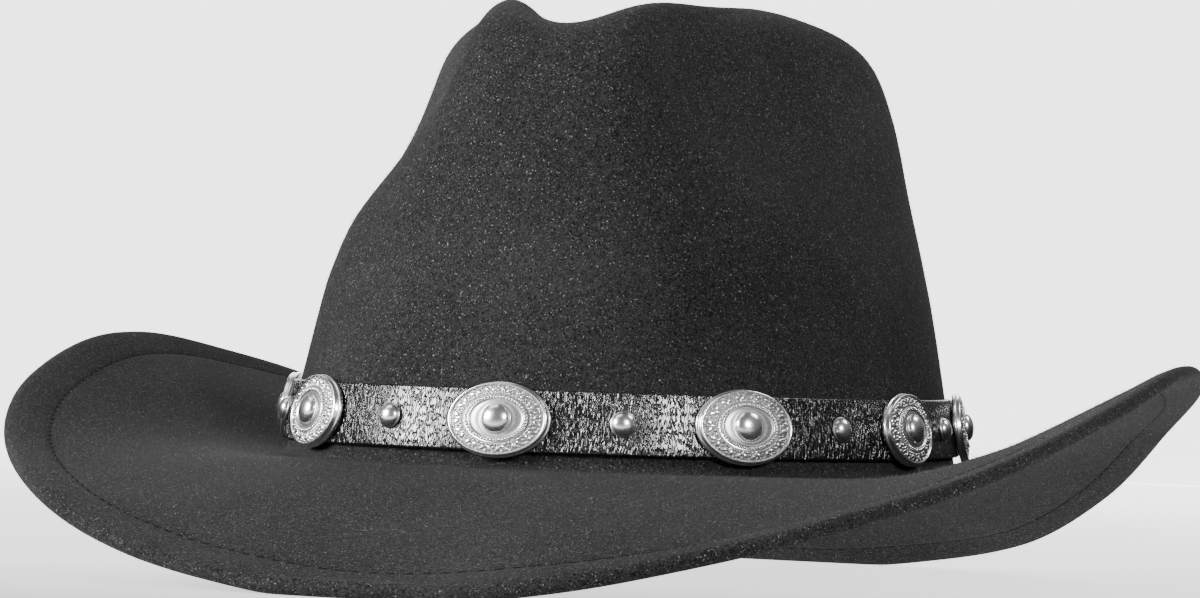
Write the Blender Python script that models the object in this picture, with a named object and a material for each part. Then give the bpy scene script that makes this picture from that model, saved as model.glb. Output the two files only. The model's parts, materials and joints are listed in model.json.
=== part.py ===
"""Western fedora: a felt crown and brim in one piece, a leather band, and the oval conchos and round
rivets fastened to the band. Metres, +Z up, the front of the hat towards -Y, its rim resting on z = 0."""

import math

import bpy
from mathutils import Matrix, Vector

# Felt: the hole for the head, the crown and the brim
HEAD_LENGTH = 0.195  # inside of the crown's foot, front to back
HEAD_WIDTH = 0.160  # inside of the crown's foot, side to side
HEAD_OVAL_POWER = 2.15  # 2 is an ellipse, more is squarer
FELT_THICKNESS = 0.0025
CROWN_HEIGHT = 0.1190  # of the block, before its top is creased
CROWN_LEAN = 0.020  # the crown's foot drops towards the front by this share of its length
BRIM_FRONT = 0.090  # plan width of the brim at the front, from the crown's foot to the rim
BRIM_BACK = 0.084
BRIM_SIDE = 0.0631
RIM_OVAL_POWER = 2.2
BRIM_DIP = 0.0287  # the rim's front and back hang this far below the crown's foot
BRIM_RISE = 0.0290  # the rim's sides curl up this far above the crown's foot
BREAK_RADIUS = 0.0045  # hollow between the crown and the brim
HEM_WIDTH = 0.0115  # the folded edge, from the rim to its row of stitches
HEM_THICKNESS = 0.0038
HEM_ROUNDING = 0.0024  # of its edge, and of the groove that its stitches pull in
STITCH_GROOVE = 0.0020  # felt left in that groove
REST_FLAT = 0.0022  # how far the rim is bent up where the hat rests on it
REST_SHARE = 0.65  # of the width that is bent up, how much is made one flat face
CREASE_DEPTH = 0.026  # the long crease of the crown's top
PINCH_DEPTH = 0.0135  # the two hollows that fingers pinch at the front

# Band, conchos and rivets
BAND_WIDTH = 0.0150
BAND_THICKNESS = 0.0014
BAND_LEAN = 0.0026  # the band's top edge lies this far inside its foot
CONCHO_COUNT = 10
CONCHO_LENGTH = 0.0255
CONCHO_HEIGHT = 0.0180
CONCHO_THICKNESS = 0.0016
CONCHO_CROWNING = 0.0012  # the plate's middle stands this far above its edge
CONCHO_RELIEF = 0.00035
CONCHO_DOME_WIDTH = 0.0072
CONCHO_DOME_HEIGHT = 0.0018
RIVET_DIAMETER = 0.0061
RIVET_HEIGHT = 0.0024
SEAT_GAP = 0.0003  # clearance between pieces that touch

# Facets
OVAL_STEPS = 4000  # of the fine outline that the even facets are measured along
FACETS_PER_CONCHO = 6
CONCHO_SIDES = 20
RIVET_SIDES = 10
RINGS_PER_SECTION = 2
DOME_RINGS = 3
SHARP_ANGLE = math.radians(40)  # facets that meet at more than this keep a crisp edge

# Crown sections above the band: height as a share of the block's height, the reach to the front, to
# the back and to the sides as shares of the crown's foot, and the share by which the front is
# narrower than the back
CROWN_SECTIONS = (
    # height, front, back, side, narrowing
    (0.38, 0.925, 0.915, 0.905, 0.03),
    (0.60, 0.870, 0.855, 0.828, 0.08),
    (0.78, 0.815, 0.790, 0.755, 0.10),
    (0.90, 0.740, 0.700, 0.660, 0.10),
    (0.965, 0.590, 0.540, 0.490, 0.09),
    (0.993, 0.340, 0.320, 0.270, 0.06),
)
# The top crease, front to back: place as a share of the foot's half length, depth as a share of
# CREASE_DEPTH, spread as a share of the foot's half width
CREASE = (
    # place, depth, spread
    (-1.00, 0.00, 0.22),
    (-0.80, 0.14, 0.24),
    (-0.55, 0.40, 0.30),
    (-0.20, 0.90, 0.42),
    (0.15, 1.00, 0.48),
    (0.50, 0.55, 0.44),
    (0.80, 0.00, 0.36),
)
CREASE_FADE = 6  # how fast the crease fades down the crown's sides
# The pinch, alike on both sides: height as a share of the block's height, depth as a share of
# PINCH_DEPTH, place and its reach ahead and behind as shares of the foot's half length
PINCH = (
    # height, depth, place, ahead, behind
    (0.38, 0.00, -0.24, 0.36, 0.50),
    (0.50, 0.16, -0.28, 0.36, 0.50),
    (0.64, 0.68, -0.38, 0.36, 0.50),
    (0.80, 1.00, -0.48, 0.34, 0.48),
    (0.92, 0.90, -0.53, 0.32, 0.46),
    (1.00, 0.55, -0.53, 0.30, 0.42),
)
PINCH_NOSE = 0.46  # half width of the nose left between the hollows, as a share of the foot's
# The rim's height round the hat: angle from the front, drop as a share of BRIM_DIP, lift as a
# share of BRIM_RISE
RIM = (
    # angle, drop, lift
    (-14, 0.85, 0.00),
    (0, 1.00, 0.00),
    (14, 0.85, 0.00),
    (28, 0.59, 0.00),
    (41, 0.28, 0.00),
    (55, 0.00, 0.09),
    (72, 0.00, 0.59),
    (90, 0.00, 1.01),
    (106, 0.00, 0.93),
    (123, 0.00, 0.59),
    (138, 0.11, 0.00),
    (151, 0.63, 0.00),
    (165, 0.88, 0.00),
    (180, 1.00, 0.00),
    (195, 0.88, 0.00),
)
# The concho from its dome to its edge: place as a share of the oval, raised edges as a share of
# CONCHO_RELIEF, and bosses that stand on every second facet, as a share of CONCHO_RELIEF
CONCHO_SECTIONS = (
    # place, raised, bosses
    (0.48, 0.00, 0.00),
    (0.54, 1.00, 0.00),
    (0.60, 0.00, 0.00),
    (0.72, 0.20, 1.00),
    (0.90, 1.00, 0.00),
    (1.00, 0.00, 0.00),
)
CONCHO_BACK = 0.97  # the flat back's size, as a share of the plate's
BRIM_SWEEP = 1.35  # above 1 the brim leaves the crown level and bends more towards its rim
RAISED_SWEEP = 1.0  # the same where the rim is at its highest
BRIM_RINGS = 6
FOOT_NAME = "crown_foot"  # the empty that every piece is placed from, at the crown's foot

SEGMENTS = CONCHO_COUNT * FACETS_PER_CONCHO
ROUNDING = 1e-7  # a coordinate's own rounding error
FOOT_HALF_LENGTH = HEAD_LENGTH / 2 + FELT_THICKNESS / 2  # middle of the felt
FOOT_HALF_WIDTH = HEAD_WIDTH / 2 + FELT_THICKNESS / 2
REST_LEVEL = REST_FLAT - BRIM_DIP  # middle of the felt where it rests, from the crown's foot
REST_INSET = REST_SHARE * REST_FLAT * BRIM_BACK / (BRIM_DIP * BRIM_SWEEP)
FLOOR_TO_FOOT = HEM_THICKNESS / 2 - REST_LEVEL
CROWN_CENTRE = (BRIM_FRONT - BRIM_BACK) / 2  # the crown's middle, from the middle of the hat


def read_table(table, place):
    """The row of a table at that place, along a smooth curve through its rows."""
    places = [row[0] for row in table]
    last = len(places) - 1
    low = min(max(sum(p <= place for p in places) - 1, 0), last - 1)
    share = min(max((place - places[low]) / (places[low + 1] - places[low]), 0), 1)
    found = []
    for column in range(1, len(table[0])):
        values = [row[column] for row in table]
        step = places[low + 1] - places[low]
        slopes = []
        for i in (low, low + 1):
            a, b = max(i - 1, 0), min(i + 1, last)
            slopes.append((values[b] - values[a]) / (places[b] - places[a]) * step)
        s2, s3 = share**2, share**3
        found.append(
            values[low] * (2 * s3 - 3 * s2 + 1)
            + slopes[0] * (s3 - 2 * s2 + share)
            + values[low + 1] * (3 * s2 - 2 * s3)
            + slopes[1] * (s3 - s2)
        )
    return found


def oval_point(angle, half_length, half_width, power):
    """A point of an oval outline; angle 0 is the front."""
    s, c = math.sin(angle), math.cos(angle)
    x = half_width * math.copysign(abs(s) ** (2 / power), s)
    y = -half_length * math.copysign(abs(c) ** (2 / power), c)
    return x, y


def even_angles(count, half_length, half_width, power):
    """Angles whose points divide the oval into equal lengths, from the front round by +X."""
    points = [
        oval_point(2 * math.pi * i / OVAL_STEPS, half_length, half_width, power)
        for i in range(OVAL_STEPS + 1)
    ]
    run = [0.0]
    for a, b in zip(points, points[1:]):
        run.append(run[-1] + math.dist(a, b))
    angles = []
    j = 0
    for k in range(count):
        wanted = run[-1] * k / count
        while run[j + 1] <= wanted:
            j += 1
        part_step = (wanted - run[j]) / (run[j + 1] - run[j])
        angles.append(2 * math.pi * (j + part_step) / OVAL_STEPS)
    return angles


def oval_normal(angle, half_length, half_width, power):
    """The level direction straight out of an oval at that angle."""
    x, y = oval_point(angle, 1, 1, power)
    out_x = math.copysign(abs(x) ** (power - 1), x) / half_width
    out_y = math.copysign(abs(y) ** (power - 1), y) / half_length
    return Vector((out_x, out_y, 0)).normalized()


ANGLES = even_angles(SEGMENTS, FOOT_HALF_LENGTH, FOOT_HALF_WIDTH, HEAD_OVAL_POWER)


def crown_point(angle, height, front, back, side, narrowing):
    """A point of the creased and pinched crown, in the middle of the felt."""
    length = front if math.cos(angle) > 0 else back
    x, y = oval_point(
        angle, FOOT_HALF_LENGTH * length, FOOT_HALF_WIDTH * side, HEAD_OVAL_POWER
    )
    x *= 1 + narrowing * y / (FOOT_HALF_LENGTH * length)
    z = CROWN_HEIGHT * height
    depth, spread = read_table(CREASE, y / FOOT_HALF_LENGTH)
    across = min(abs(x) / (spread * FOOT_HALF_WIDTH), 1)
    z -= CREASE_DEPTH * depth * (1 + math.cos(math.pi * across)) / 2 * height**CREASE_FADE
    hollow, place, ahead, behind = read_table(PINCH, height)
    along = y / FOOT_HALF_LENGTH - place
    along /= ahead if along < 0 else behind
    outer = min(abs(x) / (PINCH_NOSE * FOOT_HALF_WIDTH), 1)
    pinch = PINCH_DEPTH * hollow * math.exp(-(along**2)) * outer**2
    x -= math.copysign(pinch, x)
    return Vector((x, y, z + CROWN_LEAN * y))


def wall_point(angle, height, inset):
    """A point of the straight wall under the band."""
    x, y = oval_point(
        angle, FOOT_HALF_LENGTH - inset, FOOT_HALF_WIDTH - inset, HEAD_OVAL_POWER
    )
    return Vector((x, y, height + CROWN_LEAN * y))


def rim_point(angle):
    """The rim before the surface under it bends it up: its plan oval, with its drop or lift."""
    front = math.cos(angle) > 0
    half_length = FOOT_HALF_LENGTH + (BRIM_FRONT if front else BRIM_BACK)
    x, y = oval_point(angle, half_length, FOOT_HALF_WIDTH + BRIM_SIDE, RIM_OVAL_POWER)
    turn = math.degrees(angle)
    drop, lift = read_table(RIM, min(turn, 360 - turn))
    return Vector((x, y, BRIM_RISE * lift - BRIM_DIP * drop))


def brim_point(angle, share, inset):
    """A point of the brim, that share of the way from the crown to the line inset from the rim."""
    start = wall_point(angle, 0, -BREAK_RADIUS)
    end = rim_point(angle)
    share *= 1 - inset / (end - start).length
    point = start.lerp(end, share)
    sweep = BRIM_SWEEP + (RAISED_SWEEP - BRIM_SWEEP) * max(end.z, 0) / BRIM_RISE
    point.z = max(start.z + (end.z - start.z) * share**sweep, REST_LEVEL)
    return point


def crown_rings():
    """Rings of the crown from its top down to the band's top edge, each with its felt thickness."""
    band_top = (
        (BREAK_RADIUS + BAND_WIDTH) / CROWN_HEIGHT,
        1 - BAND_LEAN / FOOT_HALF_LENGTH,
        1 - BAND_LEAN / FOOT_HALF_LENGTH,
        1 - BAND_LEAN / FOOT_HALF_WIDTH,
        0.0,
    )
    rows = [band_top, *CROWN_SECTIONS]
    numbered = [(i, *row) for i, row in enumerate(rows)]
    count = (len(rows) - 1) * RINGS_PER_SECTION
    rings = []
    for k in range(count, 0, -1):
        section = read_table(numbered, k / RINGS_PER_SECTION)
        rings.append([crown_point(a, *section) for a in ANGLES])
    return rings


def brim_rows():
    """The brim's rings: share of the way to a line, that line's inset from the rim, thickness."""
    inner = HEM_WIDTH + HEM_ROUNDING
    rows = [(i / BRIM_RINGS, inner, FELT_THICKNESS) for i in range(BRIM_RINGS + 1)]
    rows += [(1, HEM_WIDTH, STITCH_GROOVE), (1, HEM_WIDTH - HEM_ROUNDING, HEM_THICKNESS)]
    rows += [(1, REST_INSET, HEM_THICKNESS), (1, HEM_ROUNDING / 2, HEM_THICKNESS)]
    return rows


def felt_rings():
    """All rings of the felt's middle surface, from the crown's top to the rim, with thicknesses."""
    rings = [(ring, FELT_THICKNESS) for ring in crown_rings()]
    heights = ((BREAK_RADIUS + BAND_WIDTH, BAND_LEAN), (BREAK_RADIUS, 0.0))
    for height, inset in heights:
        rings.append(([wall_point(a, height, inset) for a in ANGLES], FELT_THICKNESS))
    bend = 1 - math.sqrt(0.5)
    hollow = [wall_point(a, BREAK_RADIUS * bend, -BREAK_RADIUS * bend) for a in ANGLES]
    rings.append((hollow, FELT_THICKNESS))
    for share, inset, thickness in brim_rows():
        rings.append(([brim_point(a, share, inset) for a in ANGLES], thickness))
    return rings


def ring_normals(rings):
    """Outward normals of a stack of rings at each of their points, upright where the hat rests."""
    normals = []
    for i, ring in enumerate(rings):
        above, below = rings[max(i - 1, 0)], rings[min(i + 1, len(rings) - 1)]
        row = []
        for j in range(len(ring)):
            round_way = ring[(j + 1) % len(ring)] - ring[j - 1]
            down = below[j] - above[j]
            resting = ring[j].z < REST_LEVEL + ROUNDING
            row.append(Vector((0, 0, 1)) if resting else down.cross(round_way).normalized())
        normals.append(row)
    return normals


def mesh_object(name, points, faces, material):
    mesh = bpy.data.meshes.new(name)
    mesh.from_pydata(points, [], faces)
    mesh.materials.append(material)
    mesh.shade_smooth()
    mesh.set_sharp_from_angle(angle=SHARP_ANGLE)
    made = bpy.data.objects.new(name, mesh)
    made.parent = bpy.data.objects[FOOT_NAME]
    bpy.context.scene.collection.objects.link(made)
    return made


def strip_faces(first, second, count):
    """Quads between two closed rings of points, given by their first indices."""
    return [
        (first + j, second + j, second + (j + 1) % count, first + (j + 1) % count)
        for j in range(count)
    ]


def fan_faces(centre, first, count, outward):
    """Triangles between a centre and a closed ring."""
    if outward:
        return [(centre, first + j, first + (j + 1) % count) for j in range(count)]
    return [(centre, first + (j + 1) % count, first + j) for j in range(count)]


def closed_rings(name, rings, top, bottom, material):
    """A closed solid from a stack of rings between a top point and a bottom point."""
    count = len(rings[0])
    points = [p for ring in rings for p in ring] + [top, bottom]
    faces = []
    for i in range(len(rings) - 1):
        faces += strip_faces(i * count, (i + 1) * count, count)
    faces += fan_faces(len(points) - 2, 0, count, True)
    faces += fan_faces(len(points) - 1, (len(rings) - 1) * count, count, False)
    return mesh_object(name, points, faces, material)


def make_material(name, colour, roughness, metallic):
    material = bpy.data.materials.new(name)
    material.use_nodes = True
    shader = material.node_tree.nodes["Principled BSDF"]
    shader.inputs["Base Color"].default_value = (*colour, 1)
    shader.inputs["Roughness"].default_value = roughness
    shader.inputs["Metallic"].default_value = metallic
    return material


def make_felt(material):
    """Crown and brim, one felt wall whose edge is folded into a hem."""
    rings = felt_rings()
    middles = [ring for ring, _ in rings]
    normals = ring_normals(middles)
    outer = []
    inner = []
    for (ring, thickness), row in zip(rings, normals):
        outer.append([p + n * thickness / 2 for p, n in zip(ring, row)])
        inner.append([p - n * thickness / 2 for p, n in zip(ring, row)])
    edge = [brim_point(a, 1, 0) for a in ANGLES]
    stack = outer + [edge] + inner[::-1]
    for ring in stack:
        for p in ring:
            p.z = max(p.z, -FLOOR_TO_FOOT)
    crease_floor = read_table(CREASE, 0)[0] * CREASE_DEPTH
    top = Vector((0, 0, CROWN_HEIGHT - crease_floor))
    half = Vector((0, 0, FELT_THICKNESS / 2))
    return closed_rings("felt_body", stack, top + half, top - half, material)


def band_face(angle, height, inset, out):
    """A point on or above the felt's wall, out from its outer face."""
    lean = BAND_LEAN / BAND_WIDTH
    here = wall_point(angle, height, inset)
    normal = oval_normal(angle, FOOT_HALF_LENGTH, FOOT_HALF_WIDTH, HEAD_OVAL_POWER)
    normal = (normal + Vector((0, 0, lean))).normalized()
    return here + normal * (FELT_THICKNESS / 2 + out), normal


def make_band(material):
    """The leather band, a closed strip round the foot of the crown."""
    foot, head = BREAK_RADIUS + SEAT_GAP, BREAK_RADIUS + BAND_WIDTH
    corners = (
        (head, BAND_LEAN, SEAT_GAP),
        (head, BAND_LEAN, SEAT_GAP + BAND_THICKNESS),
        (foot, 0.0, SEAT_GAP + BAND_THICKNESS),
        (foot, 0.0, SEAT_GAP),
    )
    rings = [[band_face(a, *corner)[0] for a in ANGLES] for corner in corners]
    points = [p for ring in rings for p in ring]
    faces = []
    for i in range(len(rings)):
        faces += strip_faces(i * SEGMENTS, (i + 1) % len(rings) * SEGMENTS, SEGMENTS)
    return mesh_object("hat_band", points, faces, material)


def place_on_band(made, facet):
    """Turns a piece made flat on z = 0 to lie on the band's outer face at that facet."""
    middle = BREAK_RADIUS + BAND_WIDTH / 2
    out = 2 * SEAT_GAP + BAND_THICKNESS
    here, normal = band_face(ANGLES[facet], middle, BAND_LEAN / 2, out)
    across = Vector((0, 0, 1)).cross(normal).normalized()
    up = normal.cross(across)
    made.location = here
    made.rotation_euler = Matrix((across, up, normal)).transposed().to_euler()


def make_concho(name, facet, material):
    """An oval cast plate: a crowned disc with a raised rim, bosses and a round polished dome."""
    rows = []
    for k in range(1, DOME_RINGS + 1):
        turn = k * math.pi / 2 / DOME_RINGS
        radius = CONCHO_DOME_WIDTH / 2 * math.sin(turn)
        height = CONCHO_CROWNING + CONCHO_DOME_HEIGHT * math.cos(turn)
        rows.append((radius, radius, CONCHO_THICKNESS + height, 0.0))
    for share, raised, bosses in CONCHO_SECTIONS:
        half_length, half_height = share * CONCHO_LENGTH / 2, share * CONCHO_HEIGHT / 2
        height = CONCHO_THICKNESS + CONCHO_CROWNING * (1 - share**2) + CONCHO_RELIEF * raised
        rows.append((half_length, half_height, height, CONCHO_RELIEF * bosses))
    rows.append((CONCHO_BACK * CONCHO_LENGTH / 2, CONCHO_BACK * CONCHO_HEIGHT / 2, 0.0, 0.0))
    rings = []
    for half_length, half_height, height, bosses in rows:
        ring = []
        for j in range(CONCHO_SIDES):
            turn = 2 * math.pi * j / CONCHO_SIDES
            x, y = half_length * math.cos(turn), half_height * math.sin(turn)
            ring.append(Vector((x, y, height + bosses * (j % 2))))
        rings.append(ring)
    top = Vector((0, 0, CONCHO_THICKNESS + CONCHO_CROWNING + CONCHO_DOME_HEIGHT))
    made = closed_rings(name, rings, top, Vector((0, 0, 0)), material)
    place_on_band(made, facet)
    return made


def make_rivet(name, facet, material):
    """A round-headed rivet, a low dome flat at its back."""
    rings = []
    for k in range(1, DOME_RINGS + 1):
        turn = k * math.pi / 2 / DOME_RINGS
        radius = RIVET_DIAMETER / 2 * math.sin(turn)
        height = RIVET_HEIGHT * math.cos(turn)
        ring = []
        for j in range(RIVET_SIDES):
            side = 2 * math.pi * j / RIVET_SIDES
            ring.append(Vector((radius * math.cos(side), radius * math.sin(side), height)))
        rings.append(ring)
    top = Vector((0, 0, RIVET_HEIGHT))
    made = closed_rings(name, rings, top, Vector((0, 0, 0)), material)
    place_on_band(made, facet)
    return made


def build_hat():
    for old in list(bpy.data.objects):
        bpy.data.objects.remove(old)
    foot = bpy.data.objects.new(FOOT_NAME, None)
    foot.location = (0, CROWN_CENTRE, FLOOR_TO_FOOT)
    bpy.context.scene.collection.objects.link(foot)
    bpy.context.view_layer.update()
    felt = make_material("felt", (0.045, 0.045, 0.047), 0.95, 0.0)
    leather = make_material("leather", (0.02, 0.02, 0.021), 0.4, 0.0)
    silver = make_material("silver", (0.78, 0.78, 0.79), 0.22, 1.0)
    make_felt(felt)
    make_band(leather)
    for k in range(CONCHO_COUNT):
        make_concho(f"concho_{k + 1}", k * FACETS_PER_CONCHO, silver)
        make_rivet(f"rivet_{k + 1}", k * FACETS_PER_CONCHO + FACETS_PER_CONCHO // 2, silver)


build_hat()
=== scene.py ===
import json
import math

import bpy
import numpy as np
from mathutils import Matrix, Vector

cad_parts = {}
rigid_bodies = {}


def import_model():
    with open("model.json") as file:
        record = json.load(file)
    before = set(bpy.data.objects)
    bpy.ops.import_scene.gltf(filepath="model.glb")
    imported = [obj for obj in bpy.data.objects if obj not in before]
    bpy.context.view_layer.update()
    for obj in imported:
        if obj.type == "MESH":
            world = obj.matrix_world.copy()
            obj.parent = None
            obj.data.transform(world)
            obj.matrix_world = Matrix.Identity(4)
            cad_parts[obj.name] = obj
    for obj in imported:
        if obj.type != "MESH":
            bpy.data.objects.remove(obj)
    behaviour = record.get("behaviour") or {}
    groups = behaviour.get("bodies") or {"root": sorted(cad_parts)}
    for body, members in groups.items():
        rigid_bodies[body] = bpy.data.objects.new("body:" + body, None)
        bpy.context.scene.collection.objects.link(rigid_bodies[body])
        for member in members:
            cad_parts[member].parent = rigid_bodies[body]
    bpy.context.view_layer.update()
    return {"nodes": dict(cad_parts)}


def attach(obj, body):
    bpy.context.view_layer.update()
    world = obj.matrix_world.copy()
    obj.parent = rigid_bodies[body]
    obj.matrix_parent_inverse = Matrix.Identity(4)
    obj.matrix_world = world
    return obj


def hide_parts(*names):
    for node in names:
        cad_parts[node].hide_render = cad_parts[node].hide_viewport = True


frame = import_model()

print("frame loaded:", len(frame["nodes"]), "nodes")

# sizes in metres, +Z up, the front of the hat towards -Y, its rim resting on z = 0
felt = {
    "headLength": 0.195,  # inside of the crown's foot
    "headWidth": 0.160,
    "headPower": 2.15,  # 2 is an ellipse, more is squarer
    "thickness": 0.0025,
    "crownHeight": 0.1190,
    "crownLean": 0.020,
    "brimFront": 0.090,
    "brimBack": 0.084,
    "brimSide": 0.0631,
    "rimPower": 2.2,
    "brimDip": 0.0287,
    "brimRise": 0.0290,
    "brimSweep": 1.35,
    "raisedSweep": 1.0,
    "breakRadius": 0.0045,
    "hemWidth": 0.0115,
    "hemThickness": 0.0038,
    "hemRounding": 0.0017,
    "hemSlope": 0.0045,  # from the rim to where the hem starts to thin towards its stitches
    "stitchGroove": 0.0022,  # felt left under the stitches
    "restFlat": 0.0022,
    "restSoftness": 0.0002,  # how gently the rim bends up where it rests
    "creaseDepth": 0.026,
    "creaseFade": 6,
    "pinchDepth": 0.0135,
    "pinchNose": 0.46,
    "hemThin": 0.35,  # share of its swell that the hem keeps next to its groove
    "unevenness": 0.0004,  # of the crown and the brim, as pressed by hand
    "restFade": 0.006,  # how far above its rest the felt gets its full unevenness
    "topHole": 0.06,  # sections left out round the middle of the crown's top
    "fuzzReach": 0.07,  # how far in from the rim the underside is fuzzy
    "columns": 360,
    "crownRings": 66,
    "brimRings": 26,
}
band = {
    "width": 0.0150,
    "thickness": 0.0014,
    "lean": 0.0026,
    "gap": 0.0003,
    "rounding": 0.0005,
    "columns": 720,
}
# crown sections: height, front, back, side, narrowing of the front
crownSections = (
    (0.38, 0.925, 0.915, 0.905, 0.03),
    (0.60, 0.870, 0.855, 0.828, 0.08),
    (0.78, 0.815, 0.790, 0.755, 0.10),
    (0.90, 0.740, 0.700, 0.660, 0.10),
    (0.965, 0.590, 0.540, 0.490, 0.09),
    (0.993, 0.340, 0.320, 0.270, 0.06),
    (1.00, 0.000, 0.000, 0.000, 0.00),
)
# top crease: place along the crown, depth, spread
crease = (
    (-1.00, 0.00, 0.22),
    (-0.80, 0.14, 0.24),
    (-0.55, 0.40, 0.30),
    (-0.20, 0.90, 0.42),
    (0.15, 1.00, 0.48),
    (0.50, 0.55, 0.44),
    (0.80, 0.00, 0.36),
)
# front pinch: height, depth, place, reach ahead, reach behind
pinch = (
    (0.38, 0.00, -0.24, 0.36, 0.50),
    (0.50, 0.16, -0.28, 0.36, 0.50),
    (0.64, 0.68, -0.38, 0.36, 0.50),
    (0.80, 1.00, -0.48, 0.34, 0.48),
    (0.92, 0.90, -0.53, 0.32, 0.46),
    (1.00, 0.55, -0.53, 0.30, 0.42),
)
# rim: angle from the front in degrees, drop, lift
rim = (
    (-14, 0.85, 0.00),
    (0, 1.00, 0.00),
    (14, 0.85, 0.00),
    (28, 0.59, 0.00),
    (41, 0.28, 0.00),
    (55, 0.00, 0.09),
    (72, 0.00, 0.59),
    (90, 0.00, 1.01),
    (106, 0.00, 0.93),
    (123, 0.00, 0.59),
    (138, 0.11, 0.00),
    (151, 0.63, 0.00),
    (165, 0.88, 0.00),
    (180, 1.00, 0.00),
    (195, 0.88, 0.00),
)

# waves of the felt's unevenness: count round the hat, phase, twist from ring to ring, share
waves = (
    (3, 0.7, 0.09, 1.0),
    (5, 2.1, -0.13, 0.625),
    (9, 4.0, 0.21, 1 / 3),
)

halfLength = felt["headLength"] / 2 + felt["thickness"] / 2  # middle of the felt at the foot
halfWidth = felt["headWidth"] / 2 + felt["thickness"] / 2
restLevel = felt["restFlat"] - felt["brimDip"]
footHeight = felt["hemThickness"] / 2 - restLevel
crownFoot = np.array((0, (felt["brimFront"] - felt["brimBack"]) / 2, footHeight))


class Wire:
    # wraps a node's output, so that sums of sockets are written as sums
    def __init__(self, tree, out=None):
        self.tree = tree
        self.out = out

    def node(self, kind, settings=None, values=None, output=0):
        made = self.tree.nodes.new(kind)
        for name, value in (settings or {}).items():
            setattr(made, name, value)
        for name, value in (values or {}).items():
            self.feed(made.inputs[name], value)
        return Wire(self.tree, made.outputs[output])

    def feed(self, socket, value):
        if isinstance(value, Wire):
            self.tree.links.new(value.out, socket)
        else:
            socket.default_value = value

    def sum(self, operation, first, second):
        parts = (first, second)
        wide = any(isinstance(p, Wire) and p.out.type in ("VECTOR", "RGBA") for p in parts)
        if not wide:
            return self.node("ShaderNodeMath", {"operation": operation}, dict(enumerate(parts)))
        parts = [(p,) * 3 if isinstance(p, (int, float)) else p for p in parts]
        values = dict(enumerate(parts))
        return self.node("ShaderNodeVectorMath", {"operation": operation}, values)

    def __add__(self, other):
        return self.sum("ADD", self, other)

    def __radd__(self, other):
        return self.sum("ADD", other, self)

    def __sub__(self, other):
        return self.sum("SUBTRACT", self, other)

    def __rsub__(self, other):
        return self.sum("SUBTRACT", other, self)

    def __mul__(self, other):
        return self.sum("MULTIPLY", self, other)

    def __rmul__(self, other):
        return self.sum("MULTIPLY", other, self)

    def __truediv__(self, other):
        return self.sum("DIVIDE", self, other)

    def __rtruediv__(self, other):
        return self.sum("DIVIDE", other, self)

    def ramp(self, low, high, start=0.0, end=1.0):
        # rises smoothly from start to end while the value goes from low to high
        values = {"Value": self, "From Min": low, "From Max": high, "To Min": start, "To Max": end}
        return self.node("ShaderNodeMapRange", {"interpolation_type": "SMOOTHSTEP"}, values)

    def between(self, first, second):
        # a colour between two, by this value
        values = {0: self, 6: first, 7: second}
        return self.node("ShaderNodeMix", {"data_type": "RGBA"}, values, 2)

    def noise(self, scale, detail=2.0, roughness=0.5, distortion=0.0):
        values = {"Vector": self, "Scale": scale, "Detail": detail, "Roughness": roughness}
        return self.node("ShaderNodeTexNoise", {}, {**values, "Distortion": distortion})

    def bump(self, strength, distance, below=None):
        values = {"Strength": strength, "Distance": distance, "Height": self}
        if below is not None:
            values["Normal"] = below
        return self.node("ShaderNodeBump", {}, values)

    def parts(self):
        split = self.tree.nodes.new("ShaderNodeSeparateXYZ")
        self.feed(split.inputs[0], self)
        return [Wire(self.tree, out) for out in split.outputs]


def placed(name, data):
    made = bpy.data.objects.new(name, data)
    bpy.context.scene.collection.objects.link(made)
    return made


def newMaterial(name, constants):
    # a Principled material, with what is the same all over it set on its own sockets
    material = bpy.data.materials.new(name)
    material.use_nodes = True
    shader = material.node_tree.nodes["Principled BSDF"]
    for socket, value in constants.items():
        shader.inputs[socket].default_value = value
    return material, Wire(material.node_tree), shader


def smoothRow(table, place):
    # the columns of a table at those places, along a smooth curve through its rows
    rows = np.array(table, float)
    places, values = rows[:, 0], rows[:, 1:]
    number = np.arange(len(places))
    before, after = np.maximum(number - 1, 0), np.minimum(number + 1, len(places) - 1)
    slope = (values[after] - values[before]) / (places[after] - places[before])[:, None]
    low = np.clip(np.searchsorted(places, place, side="right") - 1, 0, len(places) - 2)
    step = (places[low + 1] - places[low])[..., None]
    s = np.clip((place - places[low])[..., None] / step, 0, 1)
    ends = values[low] * (2 * s**3 - 3 * s**2 + 1) + values[low + 1] * (3 * s**2 - 2 * s**3)
    bends = slope[low] * (s**3 - 2 * s**2 + s) + slope[low + 1] * (s**3 - s**2)
    return np.moveaxis(ends + bends * step, -1, 0)


def ovalPoint(angle, length, width, power):
    # a point of an oval outline, angle 0 at the front
    s, c = np.sin(angle), np.cos(angle)
    return (
        width * np.sign(s) * abs(s) ** (2 / power),
        -length * np.sign(c) * abs(c) ** (2 / power),
    )


def evenAngles(count, length, width, power):
    # angles whose points divide the oval evenly, from the front round by +X
    fine = np.linspace(0, 2 * np.pi, 4001)
    x, y = ovalPoint(fine, length, width, power)
    run = np.concatenate(([0], np.cumsum(np.hypot(np.diff(x), np.diff(y)))))
    return np.interp(np.arange(count) * run[-1] / count, run, fine)


def stacked(x, y, z):
    return np.stack(np.broadcast_arrays(x, y, z), axis=-1)


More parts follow.
